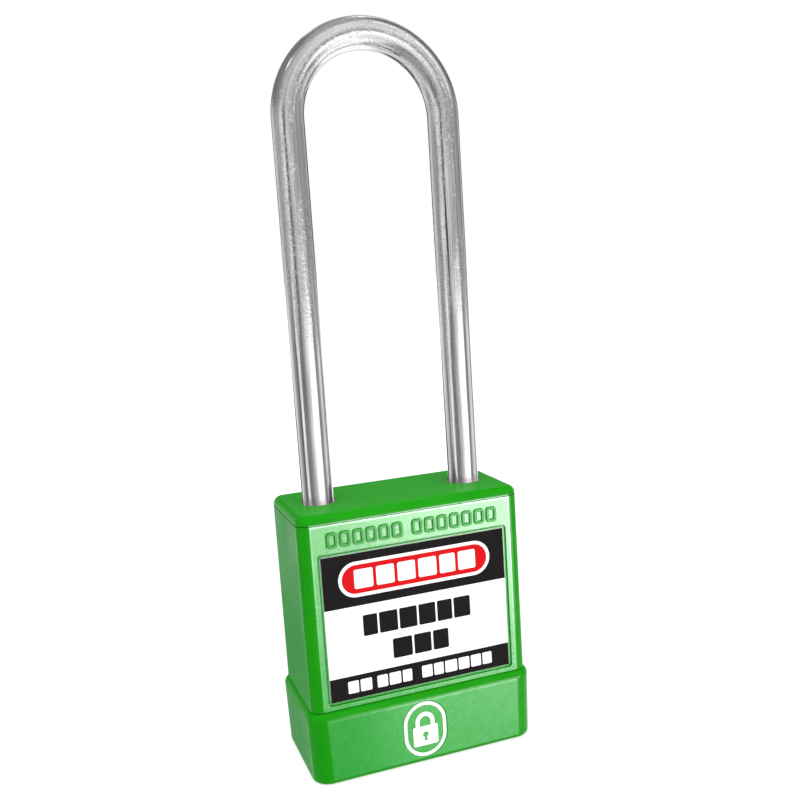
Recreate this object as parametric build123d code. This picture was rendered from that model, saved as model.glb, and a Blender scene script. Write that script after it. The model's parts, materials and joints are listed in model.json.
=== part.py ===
"""Safety padlock with a long shackle: moulded nylon body, pin-tumbler cylinder and ball locking.

Frame: origin at the middle of the underside, +Z up along the shackle, +X towards the short (toe) leg,
and the front, with its label, faces -Y. All lengths are millimetres. The model stands as it is when the
shackle is pushed home and the plug has been turned to its open position, so every joint is free to move.
"""

from build123d import *
from math import cos, radians, sin
import os

# ---- shackle ----
wire_radius = 2.55
leg_x = 12.83
bend_centre_z = 103.7
heel_end_z = 14.4
toe_end_z = 32.0
neck_radius = 1.85
neck_high_z = 32.9
leg_end_chamfer = 0.5
shackle_travel = 13.5
leg_bore_radius = 2.85

# ---- moulded body ----
body_width = 37.4
body_depth = 18.1
body_corner_radius = 1.85
body_top_z = 43.6
body_top_fillet = 1.4
top_wall = 3.7
cavity_width = 33.4
cavity_depth = 14.28
cavity_corner_radius = 1.0
spigot_width = 35.6
spigot_depth = 16.5
spigot_corner_radius = 1.25
spigot_low_z = 2.1
bore_mouth_chamfer = 0.1

# ---- parting line just under the rounded top edge ----
parting_line_z = 42.15
parting_line_height = 0.22
parting_line_deep = 0.2

# ---- base cap, whose ends lean outwards from the foot to the shoulder ----
cap_foot_width = 38.2
cap_shoulder_width = 38.9
cap_depth = 19.6
cap_corner_radius = 2.9
cap_height = 11.9
cap_foot_fillet = 0.8
cap_top_fillet = 1.15
cap_inner_width = 35.7
cap_inner_depth = 16.6
cap_inner_corner_radius = 1.3
cap_floor = 2.0
cap_gap = 0.05
spring_tube_radius = 3.7
spring_tube_top_z = 26.6
key_opening_radius = 5.35
key_opening_chamfer = 0.5

# ---- shallow upright recess in the cap's front, for a printed badge ----
badge_width = 7.6
badge_height = 9.6
badge_x = -0.4
badge_centre_z = 5.75
badge_recess = 0.1

# ---- snap joint between cap and body ----
snap_x = 10.0
snap_width = 5.0
snap_low_z = 7.0
snap_height = 1.2
snap_reach = 0.45
snap_slack = 0.3

# ---- labels ----
label_width = 31.0
label_height = 23.64
label_low_z = 13.2
label_thickness = 0.16
label_corner_radius = 0.3
pocket_depth = 0.25
pocket_margin = 0.5
pocket_corner_radius = 0.6
moat_width = 0.25
moat_depth = 0.15

# ---- row of raised frames moulded above the label, in two groups ----
relief_counts = (6, 7)
relief_pitch = 2.15
relief_group_gap = 1.2
relief_height = 2.45
relief_width = 1.75
relief_stroke = 0.42
relief_corner = 0.5
relief_raise = 0.3
relief_centre_z = 39.5

# ---- pin-tumbler cylinder, its axis upright ----
plug_radius = 4.4
plug_bore_radius = 4.45
plug_nose_radius = 5.0
plug_low_z = 0.6
plug_shoulder_z = 27.0
plug_nose_chamfer = 0.3
plug_seat_gap = 0.05
tongue_length = 5.6
tongue_width = 1.9
tongue_top_z = 28.6
tongue_slack_long = 0.3
tongue_slack_wide = 0.1
tongue_slack_high = 0.2
keyway_top_z = 24.9
keyway_rim = 0.2
housing_low_z = 2.1
housing_top_z = 25.5
housing_radius = 5.9
stack_end_x = 14.4
stack_half_width = 2.4
boss_low_x = 10.2
boss_top_z = 26.9
chamber_count = 6
first_chamber_z = 5.0
chamber_pitch = 3.6
chamber_radius = 1.3
chamber_floor_y = -0.9
pin_radius = 1.25
pin_gap = 0.1
driver_pin_length = 4.0
key_pin_lengths = (4.6, 3.7, 4.3, 3.4, 4.0, 3.1)
key_pin_tip = 0.7
pin_edge = 0.2
clip_low_z = 25.55
clip_height = 0.7
clip_slack = 0.05
clip_groove_radius = 3.7
clip_outer_radius = 5.4
clip_opening_deg = 80
cover_thickness = 0.7
cover_lip = 1.2

# ---- ball locking ----
ball_radius = 3.0
ball_height_z = 36.0
ball_rest_x = 7.08
ball_travel = 1.45
notch_radius = 3.2
cam_shaft_radius = 4.0
cam_low_radius = 3.96
cam_low_z = 27.15
cam_step_z = 32.95
cam_lobe_top_z = 39.05
cam_pivot_radius = 2.0
cam_top_z = 39.8
cam_ramp_end_deg = 90
cam_land_end_deg = 110
cam_fall_end_deg = 160
cam_step_deg = 10

# ---- zinc frame that holds cam, balls and retaining pin ----
frame_width = 33.0
frame_depth = 13.9
frame_corner_radius = 0.8
frame_low_z = 27.0
frame_top_z = 39.85
frame_cam_bore_radius = 5.65
frame_cam_step_z = 32.9
ball_bore_radius = 3.05
shaft_bore_radius = 4.05
toe_bore_floor_z = 29.6
retaining_pin_radius = 1.0
retaining_pin_length = 13.5
retaining_pin_z = 30.9
retaining_pin_gap = 0.1

# The collar under the neck meets the retaining pin at the end of the shackle's travel.
neck_low_z = retaining_pin_z - retaining_pin_radius - retaining_pin_gap - shackle_travel

# ---- screw under the toe leg ----
screw_radius = 1.0
screw_clearance_radius = 1.1
screw_low_z = 24.9
screw_hole_low_z = 24.6
screw_head_radius = 2.3
screw_head_height = 1.8
screw_socket_width = 2.0
screw_socket_depth = 1.1

# ---- springs ----
shackle_spring_low_z = 2.2
shackle_spring_top_z = 14.35
shackle_spring_radius = 2.05
shackle_spring_wire = 0.6
shackle_spring_turns = 9
driver_spring_radius = 0.95
driver_spring_wire = 0.2
driver_spring_turns = 8

# Half the height of the thin band in which an outline's edges are looked for.
edge_band = 0.01

chamber_heights = [first_chamber_z + chamber_pitch * i for i in range(chamber_count)]


def rounded_block(width, depth, corner, low, high):
    """An upright block on the Z axis with rounded vertical corners."""
    outline = RectangleRounded(width, depth, corner)
    return extrude(Plane.XY.offset(low) * outline, high - low)


def upright_rod(x, radius, low, high):
    """A cylinder along Z, centred on X = x."""
    return Pos(x, 0, (low + high) / 2) * Cylinder(radius, high - low)


def cross_rod(z, radius, low, high):
    """A cylinder along X at height z."""
    return Pos((low + high) / 2, 0, z) * Rot(0, 90, 0) * Cylinder(radius, high - low)


def depth_rod(x, z, radius, low, high):
    """A cylinder along Y through (x, z)."""
    return Pos(x, (low + high) / 2, z) * Rot(90, 0, 0) * Cylinder(radius, high - low)


def span_box(low, high):
    """A box between two opposite corners."""
    size = [b - a for a, b in zip(low, high)]
    middle = [(a + b) / 2 for a, b in zip(low, high)]
    return Pos(*middle) * Box(*size)


def outer_edges_at(shape, z):
    """The edges of a shape's outline at height z."""
    return shape.edges().filter_by_position(Axis.Z, z - edge_band, z + edge_band)


def coil_spring(start, direction, length, radius, wire, turns):
    """A round-wire compression spring from start along direction."""
    pitch = (length - wire) / turns
    first = Vector(*start) + Vector(*direction) * (wire / 2)
    path = Helix(pitch, pitch * turns, radius, center=first, direction=direction)
    section = Plane(path @ 0, z_dir=path % 0) * Circle(wire / 2)
    return sweep(section, path=path, is_frenet=True)


def snap_block(side, slack):
    """The space of one row of snap barbs, or with slack the windows that take them."""
    wall = cap_inner_depth / 2
    deep = wall - cavity_depth / 2 if slack else wall - spigot_depth / 2 + snap_reach
    blocks = []
    for x in (-snap_x, snap_x):
        low = (x - snap_width / 2 - slack, wall - deep - slack, snap_low_z - slack)
        high = (x + snap_width / 2 + slack, wall, snap_low_z + snap_height + slack)
        block = span_box(low, high)
        blocks.append(block if side > 0 else mirror(block, about=Plane.XZ))
    return blocks


def label_pocket(side):
    """The recess that a label lies in, with a moat round it, on the front (-1) or the back (1)."""
    middle_z = label_low_z + label_height / 2
    width = label_width + 2 * pocket_margin
    height = label_height + 2 * pocket_margin
    face = Plane((0, side * body_depth / 2, middle_z), x_dir=(-side, 0, 0), z_dir=(0, side, 0))
    outline = RectangleRounded(width, height, pocket_corner_radius)
    island = RectangleRounded(
        width - 2 * moat_width, height - 2 * moat_width, pocket_corner_radius - moat_width
    )
    pocket = extrude(face * outline, -pocket_depth)
    moat = extrude(face * (outline - island), -pocket_depth - moat_depth)
    return pocket + moat


def relief_row():
    """Raised open frames in two groups, standing out of the front face above the label."""
    face = Plane((0, -body_depth / 2, relief_centre_z), x_dir=(1, 0, 0), z_dir=(0, -1, 0))
    spans = [(count - 1) * relief_pitch for count in relief_counts]
    total = sum(spans) + relief_pitch + relief_group_gap
    frame = RectangleRounded(relief_width, relief_height, relief_corner)
    frame -= RectangleRounded(
        relief_width - 2 * relief_stroke,
        relief_height - 2 * relief_stroke,
        relief_corner - relief_stroke,
    )
    x = -total / 2
    frames = []
    for count in relief_counts:
        for _ in range(count):
            frames.append(extrude(face * Pos(x, 0) * frame, relief_raise))
            x += relief_pitch
        x += relief_group_gap
    return frames


def body_shell():
    """The moulded body: open below, with a spigot that the cap slides over."""
    seam_z = cap_height + cap_gap
    upper = rounded_block(body_width, body_depth, body_corner_radius, seam_z, body_top_z)
    upper = fillet(outer_edges_at(upper, body_top_z), body_top_fillet)
    spigot = rounded_block(spigot_width, spigot_depth, spigot_corner_radius, spigot_low_z, seam_z)
    shell = upper + spigot
    shell -= rounded_block(
        cavity_width, cavity_depth, cavity_corner_radius, spigot_low_z, body_top_z - top_wall
    )
    for x in (-leg_x, leg_x):
        shell -= upright_rod(x, leg_bore_radius, body_top_z - top_wall, body_top_z)
        mouth = Pos(x, 0, body_top_z - bore_mouth_chamfer / 2) * Cone(
            leg_bore_radius, leg_bore_radius + bore_mouth_chamfer, bore_mouth_chamfer
        )
        shell -= mouth
    line_low = parting_line_z - parting_line_height / 2
    line_high = parting_line_z + parting_line_height / 2
    ring = rounded_block(body_width + 2, body_depth + 2, body_corner_radius + 1, line_low, line_high)
    ring -= rounded_block(
        body_width - 2 * parting_line_deep,
        body_depth - 2 * parting_line_deep,
        body_corner_radius - parting_line_deep,
        line_low,
        line_high,
    )
    shell -= ring
    for side in (-1, 1):
        shell -= label_pocket(side)
        for window in snap_block(side, snap_slack):
            shell -= window
    for frame in relief_row():
        shell += frame
    return shell


def bottom_cap():
    """The base cap: a cup round the spigot, with the key opening and the spring's guide tube."""
    foot_x = cap_foot_width / 2
    shoulder_x = cap_shoulder_width / 2
    profile = Polygon(
        (-foot_x, 0), (foot_x, 0), (shoulder_x, cap_height), (-shoulder_x, cap_height), align=None
    )
    cup = extrude(Plane.XZ * profile, cap_depth / 2, both=True)
    corners = cup.edges().filter_by(lambda edge: edge.bounding_box().size.Z > cap_height / 2)
    cup = fillet(corners, cap_corner_radius)
    cup = fillet(outer_edges_at(cup, cap_height), cap_top_fillet)
    cup = fillet(outer_edges_at(cup, 0), cap_foot_fillet)
    cup -= rounded_block(
        cap_inner_width, cap_inner_depth, cap_inner_corner_radius, cap_floor, cap_height
    )
    cup += upright_rod(-leg_x, spring_tube_radius, cap_floor, spring_tube_top_z)
    cup -= upright_rod(-leg_x, leg_bore_radius, cap_floor, spring_tube_top_z)
    cup -= upright_rod(0, key_opening_radius, 0, cap_floor)
    cup -= Pos(0, 0, key_opening_chamfer / 2) * Cone(
        key_opening_radius + key_opening_chamfer, key_opening_radius, key_opening_chamfer
    )
    for side in (-1, 1):
        for barb in snap_block(side, 0):
            cup += barb
    front = Plane((badge_x, -cap_depth / 2, badge_centre_z), x_dir=(1, 0, 0), z_dir=(0, -1, 0))
    badge = front * SlotOverall(badge_height, badge_width, rotation=90)
    return cup - extrude(badge, -badge_recess)


def label(side):
    """A printed plate lying in its pocket, on the front (-1) or the back (1)."""
    floor_y = side * (body_depth / 2 - pocket_depth)
    middle_z = label_low_z + label_height / 2
    face = Plane((0, floor_y, middle_z), x_dir=(-side, 0, 0), z_dir=(0, side, 0))
    outline = face * RectangleRounded(label_width, label_height, label_corner_radius)
    return extrude(outline, label_thickness)


def shackle():
    """The bent rod: a long heel leg with its neck, a short toe leg, and a ball notch in each."""
    heel = upright_rod(-leg_x, wire_radius, heel_end_z, bend_centre_z)
    toe = upright_rod(leg_x, wire_radius, toe_end_z, bend_centre_z)
    heel = chamfer(outer_edges_at(heel, heel_end_z), leg_end_chamfer)
    toe = chamfer(outer_edges_at(toe, toe_end_z), leg_end_chamfer)
    over_the_top = Plane((0, 0, bend_centre_z), x_dir=(1, 0, 0), z_dir=(0, -1, 0))
    arc = over_the_top * CenterArc((0, 0), leg_x, 0, 180)
    start = Plane((leg_x, 0, bend_centre_z), z_dir=(0, 0, 1))
    bend = sweep(start * Circle(wire_radius), path=arc)
    rod = heel + toe + bend
    neck = upright_rod(-leg_x, wire_radius + 1, neck_low_z, neck_high_z)
    neck -= upright_rod(-leg_x, neck_radius, neck_low_z, neck_high_z)
    rod -= neck
    notch_x = ball_rest_x + ball_travel
    for side in (-1, 1):
        rod -= depth_rod(side * notch_x, ball_height_z, notch_radius, -wire_radius, wire_radius)
    return rod


def retaining_pin():
    """The cross pin beside the heel leg's neck: the collar below meets it at full lift."""
    x = -leg_x + neck_radius + retaining_pin_radius + retaining_pin_gap
    half = retaining_pin_length / 2
    return depth_rod(x, retaining_pin_z, retaining_pin_radius, -half, half)


def lock_frame():
    """The zinc block under the body's top wall that carries cam, balls and retaining pin."""
    block = rounded_block(frame_width, frame_depth, frame_corner_radius, frame_low_z, frame_top_z)
    block -= upright_rod(-leg_x, leg_bore_radius, frame_low_z, frame_top_z)
    block -= upright_rod(leg_x, leg_bore_radius, toe_bore_floor_z, frame_top_z)
    block -= upright_rod(leg_x, screw_clearance_radius, frame_low_z, toe_bore_floor_z)
    block -= upright_rod(0, shaft_bore_radius, frame_low_z, frame_top_z)
    block -= upright_rod(0, frame_cam_bore_radius, frame_cam_step_z, frame_top_z)
    block -= cross_rod(ball_height_z, ball_bore_radius, -leg_x, leg_x)
    block -= retaining_pin()
    return block


def cam_radius(angle):
    """The cam's radius at an angle in degrees: it rises evenly with the turn, then falls back."""
    turn = angle % 180
    if turn <= cam_ramp_end_deg:
        return cam_low_radius + ball_travel * turn / cam_ramp_end_deg
    if turn <= cam_land_end_deg:
        return cam_low_radius + ball_travel
    if turn <= cam_fall_end_deg:
        left = (cam_fall_end_deg - turn) / (cam_fall_end_deg - cam_land_end_deg)
        return cam_low_radius + ball_travel * left
    return cam_low_radius


def ball_cam():
    """The cam on the plug's tongue: turning it lets both balls back, or pushes them out."""
    angles = range(0, 360, cam_step_deg)
    points = [(cam_radius(a) * cos(radians(a)), cam_radius(a) * sin(radians(a))) for a in angles]
    outline = make_face(Spline(*points, periodic=True))
    cam = extrude(Plane.XY.offset(cam_step_z) * outline, cam_lobe_top_z - cam_step_z)
    cam += upright_rod(0, cam_shaft_radius, cam_low_z, cam_step_z)
    cam += upright_rod(0, cam_pivot_radius, cam_lobe_top_z, cam_top_z)
    half_length = tongue_length / 2 + tongue_slack_long
    half_width = tongue_width / 2 + tongue_slack_wide
    slot_top = tongue_top_z + tongue_slack_high
    cam -= span_box((-half_length, -half_width, cam_low_z), (half_length, half_width, slot_top))
    return cam


def lock_ball(side):
    """One hardened ball, on the heel side (-1) or the toe side (1)."""
    return Pos(side * ball_rest_x, 0, ball_height_z) * Sphere(ball_radius)


def cylinder_housing():
    """The cylinder's outer body: a barrel round the plug and a block for the pin stacks."""
    housing = upright_rod(0, housing_radius, housing_low_z, housing_top_z)
    housing += span_box(
        (0, -stack_half_width, housing_low_z), (stack_end_x, stack_half_width, housing_top_z)
    )
    housing += span_box(
        (boss_low_x, -stack_half_width, housing_top_z), (stack_end_x, stack_half_width, boss_top_z)
    )
    housing -= upright_rod(0, plug_bore_radius, housing_low_z, housing_top_z)
    for z in chamber_heights:
        housing -= cross_rod(z, chamber_radius, 0, stack_end_x)
    housing -= upright_rod(leg_x, screw_radius, screw_hole_low_z, boss_top_z)
    return housing


def chamber_cover():
    """The channel-shaped strip that closes the pin chambers and holds their springs."""
    top_z = housing_top_z
    half = stack_half_width
    outer = half + cover_thickness
    lip_x = stack_end_x - cover_lip
    strip = span_box((lip_x, -outer, housing_low_z), (stack_end_x + cover_thickness, outer, top_z))
    strip -= span_box((lip_x, -half, housing_low_z), (stack_end_x, half, top_z))
    return strip


def keyway_outline():
    """The keyway's section at rest: a slot open to -Y, stepped by two wards."""
    reach = plug_nose_radius + 1
    points = [
        (-1.0, -reach),
        (0.6, -reach),
        (0.6, -2.6),
        (1.0, -2.3),
        (1.0, -1.0),
        (0.4, -0.6),
        (0.4, 1.6),
        (-0.6, 1.6),
        (-0.6, -0.2),
        (-0.3, -0.5),
        (-0.3, -1.6),
        (-1.0, -2.0),
    ]
    return make_face(Polyline(*points, close=True))


def plug():
    """The keyed plug, standing in its open position: its pin holes face the back, +Y."""
    nose_top = housing_low_z - plug_seat_gap
    core = upright_rod(0, plug_nose_radius, plug_low_z, nose_top)
    core = chamfer(outer_edges_at(core, plug_low_z), plug_nose_chamfer)
    core += upright_rod(0, plug_radius, nose_top, plug_shoulder_z)
    half_length = tongue_length / 2
    half_width = tongue_width / 2
    core += span_box(
        (-half_length, -half_width, plug_shoulder_z), (half_length, half_width, tongue_top_z)
    )
    slot = extrude(Plane.XY.offset(housing_low_z) * keyway_outline(), keyway_top_z - housing_low_z)
    core -= slot
    face_slot = extrude(Plane.XY.offset(plug_low_z) * keyway_outline(), housing_low_z - plug_low_z)
    rim = upright_rod(0, plug_radius - keyway_rim, plug_low_z, housing_low_z)
    core -= face_slot & rim
    for z in chamber_heights:
        core -= depth_rod(0, z, chamber_radius, chamber_floor_y, plug_radius)
    groove = upright_rod(0, plug_radius + 1, clip_low_z, clip_low_z + clip_height)
    groove -= upright_rod(0, clip_groove_radius, clip_low_z, clip_low_z + clip_height)
    return core - groove


def plug_clip():
    """The open ring in the plug's groove that keeps the plug in its housing."""
    low = clip_low_z + clip_slack
    high = clip_low_z + clip_height - clip_slack
    ring = upright_rod(0, clip_outer_radius, low, high)
    ring -= upright_rod(0, clip_groove_radius + clip_slack, low, high)
    half = radians(clip_opening_deg / 2)
    reach = 2 * clip_outer_radius
    mouth = make_face(
        Polyline(
            (0, 0),
            (-reach * cos(half), -reach * sin(half)),
            (-reach * cos(half), reach * sin(half)),
            close=True,
        )
    )
    return ring - extrude(Plane.XY.offset(low) * mouth, high - low)


def key_pin(z, length):
    """A key pin in the plug: a cone at the keyway end and an eased edge at the shear line."""
    top = plug_radius - pin_gap
    pin = Pos(0, 0, -length / 2) * Cylinder(pin_radius, length)
    pin = chamfer(outer_edges_at(pin, -length), key_pin_tip)
    pin = chamfer(outer_edges_at(pin, 0), pin_edge)
    return Pos(0, top, z) * Rot(-90, 0, 0) * pin


def driver_pin(z):
    """A driver pin in the housing, its inner end at the shear line."""
    low = plug_radius + pin_gap
    pin = cross_rod(z, pin_radius, low, low + driver_pin_length)
    return chamfer(pin.edges().filter_by(GeomType.CIRCLE), pin_edge)


def driver_spring(z):
    """The spring between a driver pin and the chamber cover."""
    low = plug_radius + pin_gap + driver_pin_length
    start = (low, 0, z)
    length = stack_end_x - low
    return coil_spring(
        start, (1, 0, 0), length, driver_spring_radius, driver_spring_wire, driver_spring_turns
    )


def shackle_spring():
    """The spring in the guide tube that lifts the shackle once the balls let it go."""
    start = (-leg_x, 0, shackle_spring_low_z)
    length = shackle_spring_top_z - shackle_spring_low_z
    return coil_spring(
        start, (0, 0, 1), length, shackle_spring_radius, shackle_spring_wire, shackle_spring_turns
    )


def cylinder_screw():
    """The socket-head screw in the floor of the toe bore that ties cylinder, frame and body."""
    head_top = toe_bore_floor_z + screw_head_height
    screw = upright_rod(leg_x, screw_radius, screw_low_z, toe_bore_floor_z)
    screw += upright_rod(leg_x, screw_head_radius, toe_bore_floor_z, head_top)
    socket = RegularPolygon(screw_socket_width / 2, 6, major_radius=False)
    socket = Plane((leg_x, 0, head_top - screw_socket_depth)) * socket
    return screw - extrude(socket, screw_socket_depth)


parts = {
    "body_shell": body_shell(),
    "bottom_cap": bottom_cap(),
    "front_label": label(-1),
    "back_label": label(1),
    "shackle": shackle(),
    "shackle_spring": shackle_spring(),
    "retaining_pin": retaining_pin(),
    "lock_frame": lock_frame(),
    "ball_cam": ball_cam(),
    "heel_ball": lock_ball(-1),
    "toe_ball": lock_ball(1),
    "cylinder_housing": cylinder_housing(),
    "chamber_cover": chamber_cover(),
    "plug": plug(),
    "plug_clip": plug_clip(),
    "cylinder_screw": cylinder_screw(),
}
for number, (height, pin_length) in enumerate(zip(chamber_heights, key_pin_lengths), start=1):
    parts[f"key_pin_{number}"] = key_pin(height, pin_length)
    parts[f"driver_pin_{number}"] = driver_pin(height)
    parts[f"driver_spring_{number}"] = driver_spring(height)

os.makedirs("parts", exist_ok=True)
for name, shape in parts.items():
    export_step(shape, f"parts/{name}.step")
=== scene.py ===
"""The looks of the safety padlock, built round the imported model.

Everything is in metres in the model's own frame: +Z up along the shackle, +X towards the toe leg and the
front facing -Y. The moulded body, the cap, the labels' film and the inner pieces are the model's own solids
with detailed materials. The plated shackle is rebuilt as a finer mesh, and the printed colours are thin
plates lying on the label and in the cap's badge recess.
"""

import bmesh
import bpy
import json
import math
from mathutils import Matrix, Vector


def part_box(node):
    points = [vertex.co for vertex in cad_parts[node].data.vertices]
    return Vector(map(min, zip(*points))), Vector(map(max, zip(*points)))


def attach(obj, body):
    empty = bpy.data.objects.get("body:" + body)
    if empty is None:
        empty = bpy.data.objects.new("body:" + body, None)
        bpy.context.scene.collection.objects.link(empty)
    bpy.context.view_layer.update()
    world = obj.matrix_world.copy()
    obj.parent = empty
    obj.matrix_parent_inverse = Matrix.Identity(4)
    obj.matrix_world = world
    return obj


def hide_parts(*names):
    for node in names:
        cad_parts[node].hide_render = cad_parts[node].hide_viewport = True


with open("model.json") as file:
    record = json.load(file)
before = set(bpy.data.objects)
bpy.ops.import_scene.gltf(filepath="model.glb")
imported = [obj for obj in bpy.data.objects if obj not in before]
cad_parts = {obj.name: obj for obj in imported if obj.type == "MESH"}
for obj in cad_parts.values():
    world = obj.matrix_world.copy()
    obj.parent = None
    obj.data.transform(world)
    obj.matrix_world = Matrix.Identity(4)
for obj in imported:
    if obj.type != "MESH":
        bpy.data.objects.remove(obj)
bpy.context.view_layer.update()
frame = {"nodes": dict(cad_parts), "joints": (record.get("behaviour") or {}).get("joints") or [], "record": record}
nodes = frame["nodes"]
MM = 0.001

BODY = "padlock_body"
SHACKLE = "shackle_rod"

# ---- the camera: where it stands round the point it turns about, as angles and metres ----
VIEW_AZIMUTH = math.radians(-19.391)
VIEW_ELEVATION = math.radians(8.49)
VIEW_ROLL = math.radians(-3.756)
VIEW_DISTANCE = 154.12 * MM
VIEW_PIVOT = Vector((0, 0, 60 * MM))
VIEW_ASIDE = -2.297 * MM
VIEW_ALOFT = 1.204 * MM
LENS_MM = 42.26
SENSOR_MM = 36.0


def make_camera():
    """A camera at the reference view, turned slightly about its own axis."""
    back = Vector(
        (
            math.sin(VIEW_AZIMUTH) * math.cos(VIEW_ELEVATION),
            -math.cos(VIEW_AZIMUTH) * math.cos(VIEW_ELEVATION),
            math.sin(VIEW_ELEVATION),
        )
    )
    level = Vector((0, 0, 1)).cross(back).normalized()
    upright = back.cross(level)
    right = level * math.cos(VIEW_ROLL) + upright * math.sin(VIEW_ROLL)
    up = upright * math.cos(VIEW_ROLL) - level * math.sin(VIEW_ROLL)
    place = VIEW_PIVOT - right * VIEW_ASIDE - up * VIEW_ALOFT + back * VIEW_DISTANCE
    turn = Matrix((right, up, back)).transposed()
    camera = bpy.data.objects.new("camera", bpy.data.cameras.new("camera"))
    camera.data.lens = LENS_MM
    camera.data.sensor_width = SENSOR_MM
    camera.data.clip_start = 10 * MM
    camera.data.clip_end = 20.0
    camera.matrix_world = Matrix.Translation(place) @ turn.to_4x4()
    bpy.context.scene.collection.objects.link(camera)
    bpy.context.scene.camera = camera


# ---- node materials ----


class Sheet:
    """A material's node tree, with short calls for adding and joining nodes."""

    def __init__(self, name):
        self.material = bpy.data.materials.new(name)
        self.material.use_nodes = True
        self.tree = self.material.node_tree
        self.shader = self.tree.nodes["Principled BSDF"]

    def add(self, kind, inputs=None, **settings):
        """A new node; an input is given a number, a colour or another node's output."""
        node = self.tree.nodes.new(kind)
        for key, value in settings.items():
            setattr(node, key, value)
        for key, value in (inputs or {}).items():
            self.put(node, key, value)
        return node

    def put(self, node, key, value):
        """Sets or links one input."""
        socket = node.inputs[key]
        if isinstance(value, bpy.types.NodeSocket):
            self.tree.links.new(value, socket)
        else:
            socket.default_value = value

    def shade(self, **inputs):
        """Sets the shader's own inputs, with underscores for the spaces in their names."""
        for key, value in inputs.items():
            self.put(self.shader, key.replace("_", " "), value)

    def math(self, operation, a, b=0.0, c=0.0):
        """One arithmetic step."""
        node = self.add("ShaderNodeMath", {0: a, 1: b, 2: c}, operation=operation)
        return node.outputs[0]

    def product(self, *factors):
        """Several values multiplied together."""
        result = factors[0]
        for factor in factors[1:]:
            result = self.math("MULTIPLY", result, factor)
        return result

    def split(self, vector):
        """The x, y and z of a vector."""
        return self.add("ShaderNodeSeparateXYZ", {0: vector}).outputs

    def coordinates(self, source="Object"):
        """The object's own coordinates, or another output of the same node."""
        return self.add("ShaderNodeTexCoord").outputs[source]

    def ramp(self, value, low, high, to_low=0.0, to_high=1.0):
        """A value moved from one range to another and kept inside it."""
        inputs = {"Value": value, "From Min": low, "From Max": high, "To Min": to_low, "To Max": to_high}
        return self.add("ShaderNodeMapRange", inputs, interpolation_type="SMOOTHSTEP").outputs[0]

    def stretched(self, stretch, source="Object"):
        """The surface's own coordinates, each multiplied by a factor."""
        inputs = {"Vector": self.coordinates(source), "Scale": stretch}
        return self.add("ShaderNodeMapping", inputs).outputs[0]

    def noise(self, grain, detail=2.0, roughness=0.5, where=None):
        """Noise whose lumps are about grain metres across."""
        inputs = {"Vector": where or self.coordinates(), "Scale": 1 / grain}
        inputs.update({"Detail": detail, "Roughness": roughness})
        return self.add("ShaderNodeTexNoise", inputs).outputs["Fac"]

    def bump(self, height, distance, normal=None):
        """A relief whose full height is the distance in metres."""
        node = self.add("ShaderNodeBump", {"Height": height, "Distance": distance, "Strength": 1.0})
        if normal is not None:
            self.put(node, "Normal", normal)
        return node.outputs[0]

    def blend(self, share, first, second):
        """Two colours mixed by a share."""
        node = self.add("ShaderNodeMix", {"Factor": share}, data_type="RGBA")
        self.put(node, 6, first)
        self.put(node, 7, second)
        return node.outputs[2]


def colour(red, green, blue):
    """An opaque colour in linear light."""
    return (red, green, blue, 1.0)


def grey(level):
    """A grey of one brightness."""
    return colour(level, level, level)


def flat_wall_share(sheet, edge):
    """1 on the flat upright walls, and 0 on the top, over rounded edges and beside sharp ones.

    The grain stops sharply at the front and back and fades out round the sides.
    """
    normal = sheet.split(sheet.coordinates("Normal"))
    sideways = sheet.ramp(sheet.math("ABSOLUTE", normal[0]), 0.93, 0.998)
    forward = sheet.ramp(sheet.math("ABSOLUTE", normal[1]), 0.9975, 0.9999)
    walls = sheet.math("MAXIMUM", sideways, forward)
    facing = sheet.add("ShaderNodeNewGeometry").outputs["Normal"]
    bend = sheet.add("ShaderNodeVectorMath", {0: edge, 1: facing}, operation="DOT_PRODUCT").outputs["Value"]
    return sheet.product(walls, sheet.ramp(bend, 0.90, 0.985))


# Lines on the moulded pieces that no bounding box gives.
CORNER_FROM, CORNER_TO = 17.5 * MM, 18.5 * MM  # how far out a face turns into an end wall
FLAT_FACE_EDGE = 16.85 * MM  # how far out the body's front and back stay flat
PARTING_DROP = 1.56 * MM  # the mould's parting line, below the body's top
FRAME_RAISE = 0.30 * MM  # how far the raised frames stand out of the front face
CAP_TOP = 11.9 * MM


def end_painted_highlight(sheet, tint, where, on_end, cloud):
    """A painted highlight on the two ends: strongest beside the upright edges, near the top and on the cap."""
    beside = sheet.ramp(sheet.math("ABSOLUTE", where[1]), 0.0, 5 * MM, 0.75, 1.0)
    upper = sheet.ramp(where[2], 22 * MM, 38 * MM, 0.12, 1.0)
    on_cap = sheet.ramp(where[2], 12 * MM, 10 * MM, 0.0, 0.7)
    patchy = sheet.ramp(cloud, 0.3, 0.7, 0.55, 1.0)
    share = sheet.product(beside, sheet.math("MAXIMUM", upper, on_cap), on_end, patchy)
    return sheet.blend(share, tint, colour(0.130, 0.390, 0.145))


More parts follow.
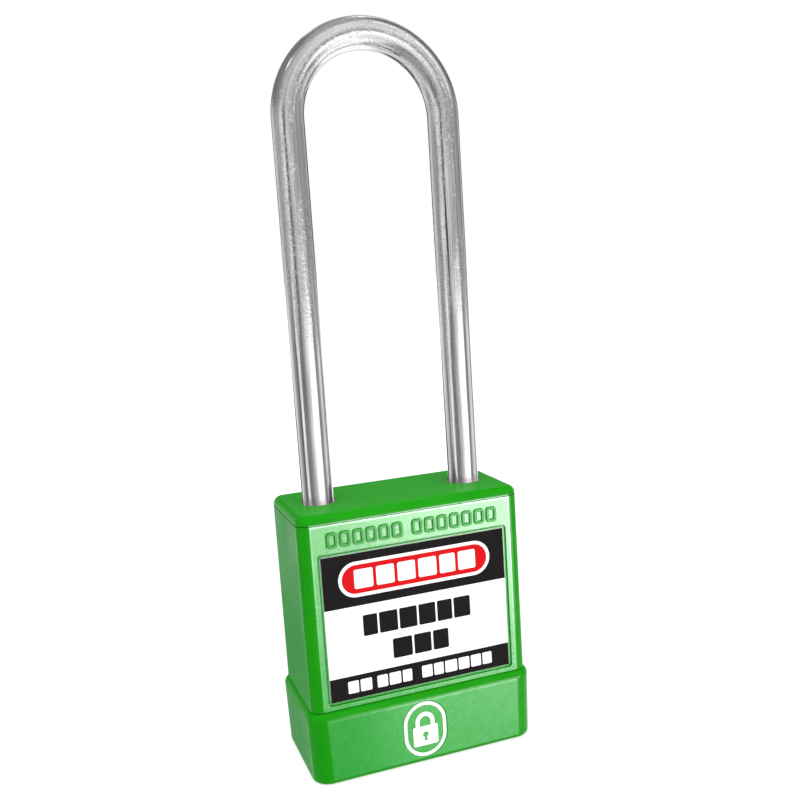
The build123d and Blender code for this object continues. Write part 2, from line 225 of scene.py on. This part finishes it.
def painted_highlight_lines(sheet, tint, where, on_face, swirl):
    """Painted highlight lines on the faces: under the parting line, along the upright edges and at the cap's rim.
    """
    parting_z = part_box("body_shell")[1].z - PARTING_DROP
    across, level = sheet.math("ABSOLUTE", where[0]), where[2]
    top_line = sheet.ramp(level, parting_z - 0.40 * MM, parting_z - 0.22 * MM)
    side_line = sheet.product(
        sheet.ramp(across, FLAT_FACE_EDGE - 0.34 * MM, FLAT_FACE_EDGE - 0.14 * MM),
        sheet.ramp(level, 14 * MM, 40 * MM, 0.15, 0.8),
        sheet.ramp(where[0], -6 * MM, 6 * MM, 0.35, 1.0),
    )
    cap_line = sheet.product(
        sheet.ramp(level, CAP_TOP - 1.60 * MM, CAP_TOP - 1.30 * MM),
        sheet.ramp(level, CAP_TOP, CAP_TOP - 0.30 * MM),
        0.30,
    )
    lines = sheet.math("MAXIMUM", top_line, sheet.math("MAXIMUM", side_line, cap_line))
    share = sheet.product(lines, on_face, sheet.ramp(swirl, 0.25, 0.6, 0.45, 0.9))
    return sheet.blend(share, tint, colour(0.46, 0.76, 0.50))


def moulded_nylon(name, sheen):
    """Glass-filled nylon: spark-eroded grain on the flat walls, smoother over rounded edges and the top."""
    sheet = Sheet(name)
    edge = sheet.add("ShaderNodeBevel", {"Radius": 0.15 * MM}, samples=8).outputs[0]
    textured = flat_wall_share(sheet, edge)
    where = sheet.split(sheet.coordinates())
    level = where[2]
    on_end = sheet.ramp(sheet.math("ABSOLUTE", where[0]), CORNER_FROM, CORNER_TO)
    on_face = sheet.math("SUBTRACT", 1.0, on_end)
    grain = sheet.noise(0.16 * MM, detail=3.0, roughness=0.6)
    pits = sheet.noise(0.45 * MM, detail=2.0)
    cloud = sheet.noise(6 * MM, detail=3.0, roughness=0.55)
    swirl = sheet.noise(1.6 * MM, detail=4.0, roughness=0.6)

    # The smooth stretches: rounded edges, and painted light making the top a little lighter.
    darker, lighter = colour(0.006, 0.236, 0.002), colour(0.008, 0.252, 0.003)
    smooth = sheet.blend(sheet.ramp(cloud, 0.3, 0.7), darker, lighter)
    upward = sheet.split(sheet.coordinates("Normal"))[2]
    smooth = sheet.blend(sheet.ramp(upward, 0.95, 0.999), smooth, colour(0.010, 0.278, 0.006))

    # Frosted walls: painted highlights on the ends and edges, darker raised frames, painted shade at the cap's
    # left.
    darker, lighter = colour(0.012, 0.300, 0.022), colour(0.028, 0.330, 0.045)
    frosted = sheet.blend(sheet.ramp(swirl, 0.3, 0.7), darker, lighter)
    frosted = end_painted_highlight(sheet, frosted, where, on_end, cloud)
    frosted = painted_highlight_lines(sheet, frosted, where, on_face, swirl)
    face_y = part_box("body_shell")[0].y + FRAME_RAISE
    most_raised = 0.75
    standing_out = sheet.ramp(where[1], face_y - 0.08 * MM, face_y - 0.22 * MM, 0.0, most_raised)
    raised = sheet.product(standing_out, sheet.ramp(level, 20 * MM, 30 * MM))
    frosted = sheet.blend(raised, frosted, colour(0.010, 0.250, 0.010))
    # Painted shade: the left part of the cap's front is darkened and given less sheen.
    leftward = sheet.ramp(where[0], -1 * MM, -15 * MM)
    cap_left_shade = sheet.product(leftward, on_face, sheet.ramp(level, 13 * MM, 11 * MM))
    frosted = sheet.blend(sheet.product(cap_left_shade, 0.6), frosted, colour(0.012, 0.240, 0.016))
    base = sheet.blend(textured, smooth, frosted)
    glints = sheet.product(sheet.ramp(grain, 0.60, 0.74), textured)

    duller_left = sheet.math("MULTIPLY_ADD", cap_left_shade, -0.6, 1.0)
    sheen = sheet.product(sheet.ramp(raised, 0.0, most_raised, sheen, sheen * 0.3), duller_left)
    relief = sheet.math("MULTIPLY_ADD", pits, 0.6, grain)
    depth = sheet.product(relief, sheet.ramp(textured, 0.0, 1.0, 0.18, 1.0))
    wall_rough = sheet.ramp(grain, 0.3, 0.7, 0.22, 0.32)
    edge_rough = sheet.ramp(cloud, 0.3, 0.7, 0.20, 0.26)
    rough = sheet.add("ShaderNodeMix", {"Factor": textured, "A": edge_rough, "B": wall_rough}).outputs[0]
    sheet.shade(
        Base_Color=sheet.blend(glints, base, colour(0.12, 0.46, 0.16)),
        Roughness=rough,
        Specular_IOR_Level=sheet.ramp(textured, 0.0, 1.0, 0.09, sheen),
        Normal=sheet.bump(depth, 0.014 * MM, edge),
    )
    return sheet.material


def film(name, ink):
    """Printed polyester film: a satin face with a faint orange-peel and a slightly uneven ink."""
    sheet = Sheet(name)
    peel = sheet.noise(0.7 * MM, detail=2.0)
    dust = sheet.noise(0.12 * MM, detail=2.0)
    patch = sheet.noise(5 * MM, detail=3.0)
    lighter = colour(*[min(1.0, x * 1.08 + 0.001) for x in ink])
    shade = sheet.blend(sheet.ramp(patch, 0.3, 0.7), colour(*ink), lighter)
    relief = sheet.math("MULTIPLY_ADD", dust, 0.25, peel)
    sheet.shade(
        Base_Color=shade,
        Roughness=sheet.ramp(patch, 0.3, 0.7, 0.40, 0.48),
        Specular_IOR_Level=0.04,
        Normal=sheet.bump(relief, 0.004 * MM),
    )
    return sheet.material


def plated_rod():
    """Chrome plate over drawn rod: long draw marks, a worn and pitted upper half, scuffs by the bores."""
    sheet = Sheet("plated_rod")
    body_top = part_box("body_shell")[1].z
    along = sheet.stretched((3000, 90, 1), "UV")
    wide = sheet.stretched((700, 40, 1), "UV")
    marks = sheet.add("ShaderNodeTexNoise", {"Vector": along, "Scale": 1.0, "Detail": 4.0}).outputs["Fac"]
    waves = sheet.add("ShaderNodeTexNoise", {"Vector": wide, "Scale": 1.0, "Detail": 2.0}).outputs["Fac"]
    grain = sheet.noise(0.34 * MM, detail=4.0, roughness=0.7)
    pits = sheet.noise(0.60 * MM, detail=3.0, roughness=0.65)
    patches = sheet.noise(8 * MM, detail=3.0, where=sheet.stretched((1, 1, 0.4)))
    height = sheet.split(sheet.coordinates())[2]
    upper = sheet.ramp(height, body_top + 20 * MM, body_top + 38 * MM, 0.25, 1.0)
    worn = sheet.product(sheet.ramp(patches, 0.40, 0.56), upper)
    spots = sheet.product(sheet.ramp(pits, 0.56, 0.68), worn)

    fine = sheet.math("MULTIPLY_ADD", marks, 0.0036, sheet.product(waves, 0.0065))
    grained = sheet.product(grain, sheet.ramp(worn, 0.0, 1.0, 0.0010, 0.0250))
    relief = sheet.math("ADD", sheet.math("MULTIPLY_ADD", spots, -0.0170, fine), grained)

    drawn = sheet.blend(sheet.ramp(marks, 0.35, 0.7), colour(0.62, 0.62, 0.63), colour(0.88, 0.88, 0.88))
    dulled = sheet.product(sheet.ramp(grain, 0.42, 0.66), sheet.ramp(worn, 0.0, 1.0, 0.04, 0.60))
    tone = sheet.blend(dulled, drawn, colour(0.47, 0.47, 0.48))
    ragged = sheet.math("MULTIPLY_ADD", pits, 2.4 * MM, height)
    scuff = sheet.ramp(ragged, body_top + 2.9 * MM, body_top + 1.3 * MM)
    pitted_rough = sheet.math("MULTIPLY_ADD", spots, 0.16, sheet.ramp(marks, 0.3, 0.7, 0.02, 0.055))
    sheet.shade(
        Base_Color=sheet.blend(scuff, tone, colour(0.50, 0.45, 0.47)),
        Metallic=1.0,
        Roughness=sheet.math("MULTIPLY_ADD", scuff, 0.22, pitted_rough),
        Normal=sheet.bump(relief, 1.0 * MM),
    )
    return sheet.material


def bare_metal(name, tint, rough, grain, depth, turned=False):
    """Machined or cast metal. Turned pieces carry fine rings about the upright axis."""
    sheet = Sheet(name)
    lumps = sheet.noise(grain, detail=4.0, roughness=0.6)
    if turned:
        where = sheet.split(sheet.coordinates())
        flat = sheet.add("ShaderNodeCombineXYZ", {0: where[0], 1: where[1]})
        radius = sheet.add("ShaderNodeVectorMath", {0: flat.outputs[0]}, operation="LENGTH").outputs[1]
        spun = sheet.add("ShaderNodeCombineXYZ", {0: radius, 1: where[2]})
        rings = sheet.add("ShaderNodeTexNoise", {"Vector": spun.outputs[0], "Scale": 9000.0, "Detail": 2.0})
        relief = sheet.math("MULTIPLY_ADD", lumps, 0.35, rings.outputs["Fac"])
    else:
        relief = lumps
    stain = sheet.noise(2.5 * MM, detail=3.0)
    dark = colour(*[x * 0.80 for x in tint])
    sheet.shade(
        Base_Color=sheet.blend(sheet.ramp(stain, 0.35, 0.65), dark, colour(*tint)),
        Metallic=1.0,
        Roughness=sheet.ramp(lumps, 0.3, 0.7, rough * 0.8, rough * 1.25),
        Normal=sheet.bump(relief, depth),
    )
    return sheet.material


def studio_paper():
    """The pale floor: faintly glowing from above, clear from below."""
    sheet = Sheet("studio_paper")
    fibre = sheet.noise(2 * MM, detail=3.0)
    sheet.shade(
        Base_Color=sheet.blend(sheet.ramp(fibre, 0.3, 0.7), grey(0.40), grey(0.42)),
        Roughness=sheet.ramp(fibre, 0.3, 0.7, 0.85, 0.95),
        Specular_IOR_Level=0.1,
        Emission_Color=grey(1.0),
        Emission_Strength=0.62,
    )
    under = sheet.add("ShaderNodeNewGeometry").outputs["Backfacing"]
    clear = sheet.add("ShaderNodeBsdfTransparent").outputs[0]
    both = sheet.add("ShaderNodeMixShader", {0: under, 1: sheet.shader.outputs[0], 2: clear})
    sheet.put(sheet.tree.nodes["Material Output"], "Surface", both.outputs[0])
    return sheet.material


# ---- mesh pieces ----


def new_piece(name, points, faces, material, body):
    """A mesh object from points and faces, riding on a body, with the material slot it belongs to."""
    mesh = bpy.data.meshes.new(name)
    mesh.from_pydata([tuple(p) for p in points], [], faces)
    mesh.materials.append(material)
    mesh.validate()
    piece = bpy.data.objects.new(name, mesh)
    bpy.context.scene.collection.objects.link(piece)
    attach(piece, body)
    return piece


class Rod:
    """The shackle's sizes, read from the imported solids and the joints' ranges."""

    END_CHAMFER = 0.5 * MM
    SHOULDER = 0.04 * MM  # height over which the rod narrows to its neck
    PIN_GAP = 0.1 * MM  # clearance between the neck and the retaining pin
    NECK_HIGH = 32.9 * MM

    def __init__(self):
        low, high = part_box("shackle")
        self.radius = high.y
        self.leg_x = high.x - self.radius
        self.bend_z = high.z - high.x
        self.heel_end = low.z
        self.toe_end = min(v.co.z for v in nodes["shackle"].data.vertices if v.co.x > 0)
        travels = {joint["name"]: joint.get("range_m") for joint in frame["joints"]}
        ball_low, ball_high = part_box("toe_ball")
        self.notch_x = (ball_low.x + ball_high.x) / 2 + travels["toe_ball_slide"][1]
        self.notch_z = (ball_low.z + ball_high.z) / 2
        self.notch_radius = (ball_high.z - ball_low.z) / 2 + 0.2 * MM
        pin_low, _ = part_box("retaining_pin")
        self.neck_radius = pin_low.x + self.leg_x - self.PIN_GAP
        self.neck_low = pin_low.z - self.PIN_GAP - travels["shackle_lift"][1]

    def leg_heights(self, end, necked):
        """Heights of the rings up one leg, closer together where the shape changes."""
        heights = {end, end + self.END_CHAMFER}
        if necked:
            heights |= {self.neck_low - self.SHOULDER, self.neck_low}
            heights |= {self.NECK_HIGH, self.NECK_HIGH + self.SHOULDER}
        notch_steps = 44
        for i in range(notch_steps + 1):
            heights.add(self.notch_z + self.notch_radius * math.sin(math.pi * (i / notch_steps - 0.5)))
        plain_step = 1.5 * MM
        z = self.notch_z + self.notch_radius
        while z < self.bend_z - plain_step:
            z += plain_step
            heights.add(z)
        return sorted(heights)

    def reach(self, z, end, necked, outward):
        """The rod's radius at a height, in a direction whose outward share is given."""
        reach = self.radius
        if z < end + self.END_CHAMFER:
            reach -= end + self.END_CHAMFER - z
        if necked and self.neck_low <= z <= self.NECK_HIGH:
            reach = self.neck_radius
        rise = z - self.notch_z
        if abs(rise) < self.notch_radius and outward < 0:
            floor = self.notch_x - self.leg_x + math.sqrt(self.notch_radius**2 - rise**2)
            if floor < 0:
                reach = min(reach, floor / outward)
        return reach

    def stations(self):
        """The rings' middles from the heel leg's end to the toe leg's, each with its outward direction."""
        for z in self.leg_heights(self.heel_end, True):
            yield Vector((-self.leg_x, 0, z)), Vector((-1, 0, 0)), z, self.heel_end, True
        bend_steps = 96
        for i in range(bend_steps + 1):
            turn = math.pi * i / bend_steps
            outward = Vector((-math.cos(turn), 0, math.sin(turn)))
            centre = Vector((0, 0, self.bend_z)) + outward * self.leg_x
            yield centre, outward, self.bend_z, self.heel_end, False
        for z in reversed(self.leg_heights(self.toe_end, False)):
            yield Vector((self.leg_x, 0, z)), Vector((1, 0, 0)), z, self.toe_end, False


def wrap_rod(piece, around, girth, travelled):
    """Coordinates round and along the rod, in metres, for its draw marks."""
    layer = piece.data.uv_layers.new(name="rod")
    for polygon in piece.data.polygons:
        on_seam = polygon.index % around == around - 1
        for loop in polygon.loop_indices:
            ring, k = divmod(piece.data.loops[loop].vertex_index, around)
            turned = 1.0 if on_seam and k == 0 else k / around
            layer.data[loop].uv = (girth * turned, travelled[ring])


def shackle_piece(material):
    """The plated rod, swept from the heel leg over the bend to the toe leg."""
    rod = Rod()
    around = 96
    points, travelled = [], []
    length, previous = 0.0, None
    for centre, outward, z, end, necked in rod.stations():
        if previous is not None:
            length += (centre - previous).length
        previous = centre
        travelled.append(length)
        for k in range(around):
            angle = 2 * math.pi * k / around
            direction = outward * math.cos(angle) + Vector((0, 1, 0)) * math.sin(angle)
            points.append(centre + direction * rod.reach(z, end, necked, math.cos(angle)))
    faces = []
    for ring in range(len(travelled) - 1):
        for k in range(around):
            after = (k + 1) % around
            first, second = ring * around, (ring + 1) * around
            faces.append((first + k, second + k, second + after, first + after))
    faces.append(tuple(range(around)))
    faces.append(tuple(reversed(range(len(points) - around, len(points)))))
    piece = new_piece("plated_shackle", points, faces, material, SHACKLE)
    wrap_rod(piece, around, 2 * math.pi * rod.radius, travelled)
    piece.data.shade_smooth()
    piece.data.set_sharp_from_angle(angle=math.radians(28))
    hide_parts("shackle")


def rounded_outline(x, z, width, height, radius, steps):
    """A rectangle with rounded corners, as points round its middle."""
    corners = [(1, 1), (-1, 1), (-1, -1), (1, -1)]
    points = []
    for number, (right, top) in enumerate(corners):
        centre = (x + right * (width / 2 - radius), z + top * (height / 2 - radius))
        for i in range(steps + 1):
            angle = math.pi / 2 * (number + i / steps)
            points.append((centre[0] + radius * math.cos(angle), centre[1] + radius * math.sin(angle)))
    return points


def plates(name, outlines, y, thickness, side, material):
    """Flat printed plates standing out from the plane at y, one for each outline, in one piece.

    An outline is a list of points, or a pair of lists of equal length for a plate with a hole in it.
    """
    points, faces = [], []
    front = y + side * thickness

    def add_loop(loop, depth):
        """Adds an outline's points at a depth and returns their numbers."""
        first = len(points)
        points.extend((-side * px, depth, pz) for px, pz in loop)
        return list(range(first, len(points)))

    def join(loop_a, loop_b):
        """A band of faces between two loops."""
        count = len(loop_a)
        for i in range(count):
            after = (i + 1) % count
            faces.append((loop_a[i], loop_b[i], loop_b[after], loop_a[after]))

    for outline in outlines:
        loops = outline if isinstance(outline, tuple) else (outline,)
        rims = [(add_loop(loop, front), add_loop(loop, y)) for loop in loops]
        if len(loops) == 1:
            faces.append(tuple(rims[0][0]))
            faces.append(tuple(reversed(rims[0][1])))
            join(rims[0][1], rims[0][0])
        else:
            join(rims[0][0], rims[1][0])
            join(rims[1][0], rims[1][1])
            join(rims[1][1], rims[0][1])
            join(rims[0][1], rims[0][0])
    piece = new_piece(name, points, faces, material, BODY)
    shape = bmesh.new()
    shape.from_mesh(piece.data)
    bmesh.ops.recalc_face_normals(shape, faces=shape.faces)
    shape.to_mesh(piece.data)
    shape.free()


# Rows of blocks where printed words would stand, in millimetres.
# Each row: middle x, middle z (None for the oval's own middle), block widths, height, gap, corner radius.
OVAL_ROWS = ((0, None, (3.1, 3.0, 3.0, 3.1, 2.7, 3.0), 3.1, 0.55, 0.3),)
FIELD_ROWS = (
    (-0.2, 24.85, (2.4, 3.1, 3.0, 2.9, 2.6, 2.9), 3.45, 0.3, 0.25),
    (0.1, 20.1, (3.3, 2.95, 2.7), 3.3, 0.33, 0.25),
)
FOOTER_ROWS = (
    (-10.6, 15.15, (1.75, 1.9), 2.0, 0.3, 0.18),
    (-4.75, 15.15, (1.75, 1.95, 1.6), 2.0, 0.3, 0.18),
    (6.15, 15.15, (1.8, 1.65, 2.1, 1.9, 1.8, 1.65), 2.0, 0.3, 0.18),
)


def word_blocks(rows, middle_z=None):
    """Outlines of the rounded blocks in some rows."""
    blocks = []
    for x, z, widths, height, gap, corner in rows:
        z = middle_z if z is None else z * MM
        widths = [width * MM for width in widths]
        at = x * MM - (sum(widths) + gap * MM * (len(widths) - 1)) / 2
        for width in widths:
            blocks.append(rounded_outline(at + width / 2, z, width, height * MM, corner * MM, 4))
            at += width + gap * MM
    return blocks


def label_print(name, node, side, inks):
    """The printed colours on one label: header, oval with its rim, footer, and plain blocks for words."""
    low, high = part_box(node)
    surface = low.y if side < 0 else high.y
    layer = 0.012 * MM
    width = high.x - low.x
    header = 8.56 * MM
    footer = 3.83 * MM
    oval_width = 25.8 * MM
    oval_height = 5.75 * MM
    rim = 0.55 * MM
    header_z = high.z - header / 2
    oval_z = header_z + 0.05 * MM
    footer_z = low.z + footer / 2
    square = 0.05 * MM
    edge = 0.02 * MM

    def print_layer(part, outlines, number, ink):
        """One ink, laid on the layers already printed."""
        above = surface + side * number * layer
        plates(f"{name}_{part}", outlines, above, layer, side, inks[ink])

    bands = [
        rounded_outline(0, header_z, width - edge, header - edge, square, 2),
        rounded_outline(0, footer_z, width - edge, footer - edge, square, 2),
    ]
    print_layer("bands", bands, 0, "black")
    oval = rounded_outline(0, oval_z, oval_width, oval_height, oval_height / 2, 16)
    print_layer("oval_rim", [oval], 1, "white")
    inner_width, inner_height = oval_width - 2 * rim, oval_height - 2 * rim
    inner = rounded_outline(0, oval_z, inner_width, inner_height, inner_height / 2, 16)
    print_layer("oval", [inner], 2, "red")
    print_layer("oval_blocks", word_blocks(OVAL_ROWS, oval_z), 3, "white")
    print_layer("field_blocks", word_blocks(FIELD_ROWS), 0, "black")
    print_layer("footer_blocks", word_blocks(FOOTER_ROWS), 1, "white")


def badge_print(ink):
    """A white rim round a plain padlock sign, printed in the cap's shallow recess."""
    cap_low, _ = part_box("bottom_cap")
    recess = 0.1 * MM
    surface = cap_low.y + recess
    layer = 0.03 * MM
    x, z = -0.4 * MM, 5.75 * MM
    width, height, rim = 7.3 * MM, 9.3 * MM, 0.55 * MM
    outer = rounded_outline(x, z, width, height, width / 2, 24)
    inner = rounded_outline(x, z, width - 2 * rim, height - 2 * rim, width / 2 - rim, 24)
    plates("badge_rim", [(outer, inner)], surface, layer, -1, ink)

    # The lock's block, with a keyhole: a round hole whose lowest points reach further down.
    count, hair = 64, 1e-6
    lock_z = z - 1.15 * MM
    half_w, half_h = 2.15 * MM, 1.65 * MM
    hole_z, hole_radius, slot_reach = lock_z + 0.2 * MM, 0.48 * MM, 1.05 * MM
    block, hole = [], []
    for i in range(count):
        angle = 2 * math.pi * i / count
        across, along = math.cos(angle), math.sin(angle)
        reach = min(half_w / max(abs(across), hair), half_h / max(abs(along), hair))
        block.append((x + across * reach, lock_z + along * reach))
        reach = slot_reach if along < -0.93 else hole_radius
        hole.append((x + across * reach, hole_z + along * reach))

    # The lock's arch: out over the top and back along its inner side.
    arch_outer, arch_inner = 1.65 * MM, 0.95 * MM
    arch_foot = lock_z + half_h
    arch_turn_z = arch_foot + 0.75 * MM
    steps = 24
    turns = [math.pi * i / steps for i in range(steps + 1)]
    arch = [(x + arch_outer, arch_foot)]
    arch += [(x + arch_outer * math.cos(t), arch_turn_z + arch_outer * math.sin(t)) for t in turns]
    arch += [(x - arch_outer, arch_foot), (x - arch_inner, arch_foot)]
    arch += [(x - arch_inner * math.cos(t), arch_turn_z + arch_inner * math.sin(t)) for t in turns]
    arch += [(x + arch_inner, arch_foot)]
    plates("badge_lock", [(block, hole), arch], surface, layer, -1, ink)


# ---- stage ----


def make_stage():
    """A wide pale floor, seen only from above."""
    half = 4.0
    points = [(-half, -half, 0), (half, -half, 0), (half, half, 0), (-half, half, 0)]
    mesh = bpy.data.meshes.new("studio_floor")
    mesh.from_pydata(points, [], [(0, 1, 2, 3)])
    mesh.materials.append(studio_paper())
    floor = bpy.data.objects.new("studio_floor", mesh)
    bpy.context.scene.collection.objects.link(floor)
    floor.visible_glossy = False
    floor.visible_shadow = False


def soft_light(name, place, aim, size, power, mirrored_only=False):
    """A rectangular soft box at a place, turned towards a point; it may show in reflections only."""
    lamp = bpy.data.lights.new(name, "AREA")
    lamp.shape = "RECTANGLE"
    lamp.size, lamp.size_y = size
    lamp.energy = power
    box = bpy.data.objects.new(name, lamp)
    away = Vector(place) - Vector(aim)
    facing = away.to_track_quat("Z", "Y").to_matrix().to_4x4()
    box.matrix_world = Matrix.Translation(Vector(place)) @ facing
    box.visible_diffuse = not mirrored_only
    box.visible_glossy = mirrored_only
    bpy.context.scene.collection.objects.link(box)
    return box


def compass(bearing, height, distance):
    """A place seen from the object's middle, at a bearing turned from -Y towards +X."""
    turn = math.radians(bearing)
    return (math.sin(turn) * distance, -math.cos(turn) * distance, height)


# What polished pieces mirror, level by level: (bearing in degrees, brightness) all the way round.
MIRRORED_BANDS = {
    "low": (
        (-180, 0.95), (-142, 1.00), (-134, 0.72), (-126, 0.70), (-116, 0.36), (-100, 0.30), (-95, 0.14),
        (-86, 0.16), (-80, 1.15), (-66, 0.95), (-61, 0.24), (-38, 0.28), (-28, 0.48), (-14, 0.72),
        (-4, 1.05), (6, 1.60), (14, 1.80), (40, 1.80), (48, 0.28), (62, 0.34), (70, 0.62), (90, 1.00),
        (101, 0.80), (108, 0.22), (118, 0.30), (124, 1.20), (170, 0.95),
    ),
    "high": (
        (-180, 0.12), (-168, 0.12), (-160, 0.78), (-130, 0.78), (-124, 0.45), (-100, 0.50), (-78, 0.60),
        (-70, 1.00), (-50, 0.95), (-46, 0.08), (-34, 0.10), (-30, 1.00), (-22, 0.55), (-14, 0.95),
        (-4, 0.50), (8, 0.58), (20, 0.46), (34, 0.58), (46, 0.36), (60, 0.45), (88, 0.34), (96, 0.24),
        (106, 0.50), (114, 0.80), (122, 0.25), (145, 0.12), (160, 0.10),
    ),
    "above": (
        (-180, 0.30), (-150, 0.22), (-112, 0.25), (-80, 0.36), (-46, 0.55), (-14, 0.85), (20, 0.95),
        (46, 0.85), (56, 1.30), (66, 1.10), (74, 0.50), (88, 0.30), (104, 0.14), (126, 0.20), (140, 0.65),
        (160, 0.42),
    ),
    "below": (
        (-180, 0.95), (-120, 0.90), (-70, 0.60), (-46, 0.34), (-30, 0.55), (-20, 0.30), (-4, 0.48),
        (6, 1.10), (20, 0.85), (32, 1.70), (60, 1.10), (80, 1.70), (150, 1.50), (168, 0.95),
    ),
}

# Small round lamps in the mirrored room: bearing, lift and spread in degrees, brightness.
MIRRORED_LAMPS = (
    (149, 55, 7, 1.8),
    (50, 36, 6, 1.8),
    (-178, 41, 4, 1.8),
    (-86, 50, 5, 1.8),
    (-168, -24, 22, 0.12),
)


class Room(Sheet):
    """The world's nodes, with ramps that run round the compass."""

    def __init__(self, world):
        self.tree = world.node_tree

    def stops(self, share, bands):
        """A ramp through (bearing in degrees, brightness) pairs from -180 to 180."""
        node = self.add("ShaderNodeValToRGB", {"Fac": share})
        ramp = node.color_ramp
        while len(ramp.elements) < len(bands):
            ramp.elements.new(0.5)
        for element, (bearing, level) in zip(ramp.elements, bands):
            element.position = (bearing + 180) / 360
            element.color = grey(level)
        return node.outputs["Color"]


def mirrored_room(room):
    """A studio of pale panels, grey gaps and a dark wall behind, in bands from the floor to the ceiling."""
    away = room.coordinates("Generated")
    direction = room.split(away)
    forward = room.math("MULTIPLY", direction[1], -1.0)
    bearing = room.math("ARCTAN2", direction[0], forward)
    share = room.math("MULTIPLY_ADD", bearing, 0.5 / math.pi, 0.5)
    bands = {name: room.stops(share, stops) for name, stops in MIRRORED_BANDS.items()}
    rise = direction[2]
    level = room.blend(room.ramp(rise, -0.10, 0.02), bands["low"], bands["high"])
    level = room.blend(room.ramp(rise, 0.18, 0.36), level, bands["above"])
    level = room.blend(room.ramp(rise, 0.90, 0.97), level, grey(0.50))
    level = room.blend(room.ramp(rise, -0.34, -0.46), level, bands["below"])
    level = room.blend(room.ramp(rise, -0.925, -0.935), level, grey(0.10))
    level = room.blend(room.ramp(rise, -0.950, -0.960), level, grey(1.20))
    for side, lift, spread, glow in MIRRORED_LAMPS:
        around, up = math.radians(side), math.radians(lift)
        towards = (math.sin(around) * math.cos(up), -math.cos(around) * math.cos(up), math.sin(up))
        dot = room.add("ShaderNodeVectorMath", {0: away, 1: towards}, operation="DOT_PRODUCT")
        wide, tight = math.cos(math.radians(spread)), math.cos(math.radians(spread * 0.7))
        level = room.blend(room.ramp(dot.outputs["Value"], wide, tight), level, grey(glow))
    return level


def make_room():
    """White to the eye, an even fill for matt surfaces, and the mirrored room for glossy rays."""
    world = bpy.data.worlds.new("room")
    world.use_nodes = True
    world.cycles.sampling_method = "NONE"
    room = Room(world)
    path = room.add("ShaderNodeLightPath")
    fill = room.blend(path.outputs["Is Glossy Ray"], grey(0.60), mirrored_room(room))
    seen = room.blend(path.outputs["Is Camera Ray"], fill, grey(1.0))
    background = world.node_tree.nodes["Background"]
    room.put(background, "Color", seen)
    background.inputs["Strength"].default_value = 1.0
    bpy.context.scene.world = world


def make_lights():
    """A broad light above, a gentler one in front to the right, and the panel the front face mirrors."""
    middle = (0, 0, 0.04)
    sky = bpy.data.lights.new("sky", "SUN")
    sky.energy = 2.7
    sky.angle = math.radians(70)
    ceiling = bpy.data.objects.new("sky", sky)
    ceiling.rotation_euler = (math.radians(12), math.radians(-8), 0)
    ceiling.visible_glossy = False
    bpy.context.scene.collection.objects.link(ceiling)
    soft_light("front_box", compass(30, 0.35, 1.1), middle, (0.8, 0.6), 5.0)
    place = compass(31, -0.150, 1.0)
    panel = soft_light("mirror_panel", place, middle, (0.60, 0.38), 15.0, mirrored_only=True)
    moulded = bpy.data.collections.new("veiled_pieces")
    for node in ("body_shell", "bottom_cap", "front_label", "back_label"):
        moulded.objects.link(nodes[node])
    panel.light_linking.receiver_collection = moulded


# ---- putting it together ----


def dress(node, material):
    """Gives one of the model's own solids a finished material."""
    mesh = nodes[node].data
    mesh.materials.clear()
    mesh.materials.append(material)
    for polygon in mesh.polygons:
        polygon.material_index = 0


make_camera()
make_stage()
make_room()
make_lights()
bpy.context.scene.view_settings.view_transform = "Standard"

body_nylon = moulded_nylon("body_nylon", 0.50)
cap_nylon = moulded_nylon("cap_nylon", 0.36)
inks = {
    "white": film("white_ink", (0.88, 0.88, 0.88)),
    "black": film("black_ink", (0.0105, 0.0085, 0.0093)),
    "red": film("red_ink", (0.55, 0.007, 0.0093)),
}
steel = bare_metal("ground_steel", (0.62, 0.62, 0.63), 0.22, 0.3 * MM, 0.002 * MM)
wire = bare_metal("drawn_wire", (0.50, 0.50, 0.52), 0.30, 0.2 * MM, 0.002 * MM)
zinc = bare_metal("cast_zinc", (0.50, 0.51, 0.52), 0.45, 0.25 * MM, 0.010 * MM)
brass = bare_metal("turned_brass", (0.72, 0.52, 0.22), 0.30, 0.3 * MM, 0.003 * MM, turned=True)
finish_of = {
    "green_nylon": body_nylon,
    "label_film": inks["white"],
    "plated_steel": steel,
    "bright_steel": steel,
    "spring_steel": wire,
    "cast_zinc": zinc,
    "machined_brass": brass,
}
for part in frame["record"]["subparts"]:
    dress(part["node"], finish_of[part["material_slot"]])
dress("bottom_cap", cap_nylon)

# The reference's chrome mirrors no green, so the body stays out of reflections.
nodes["body_shell"].visible_glossy = False
shackle_piece(plated_rod())
label_print("front_print", "front_label", -1, inks)
label_print("back_print", "back_label", 1, inks)
badge_print(inks["white"])
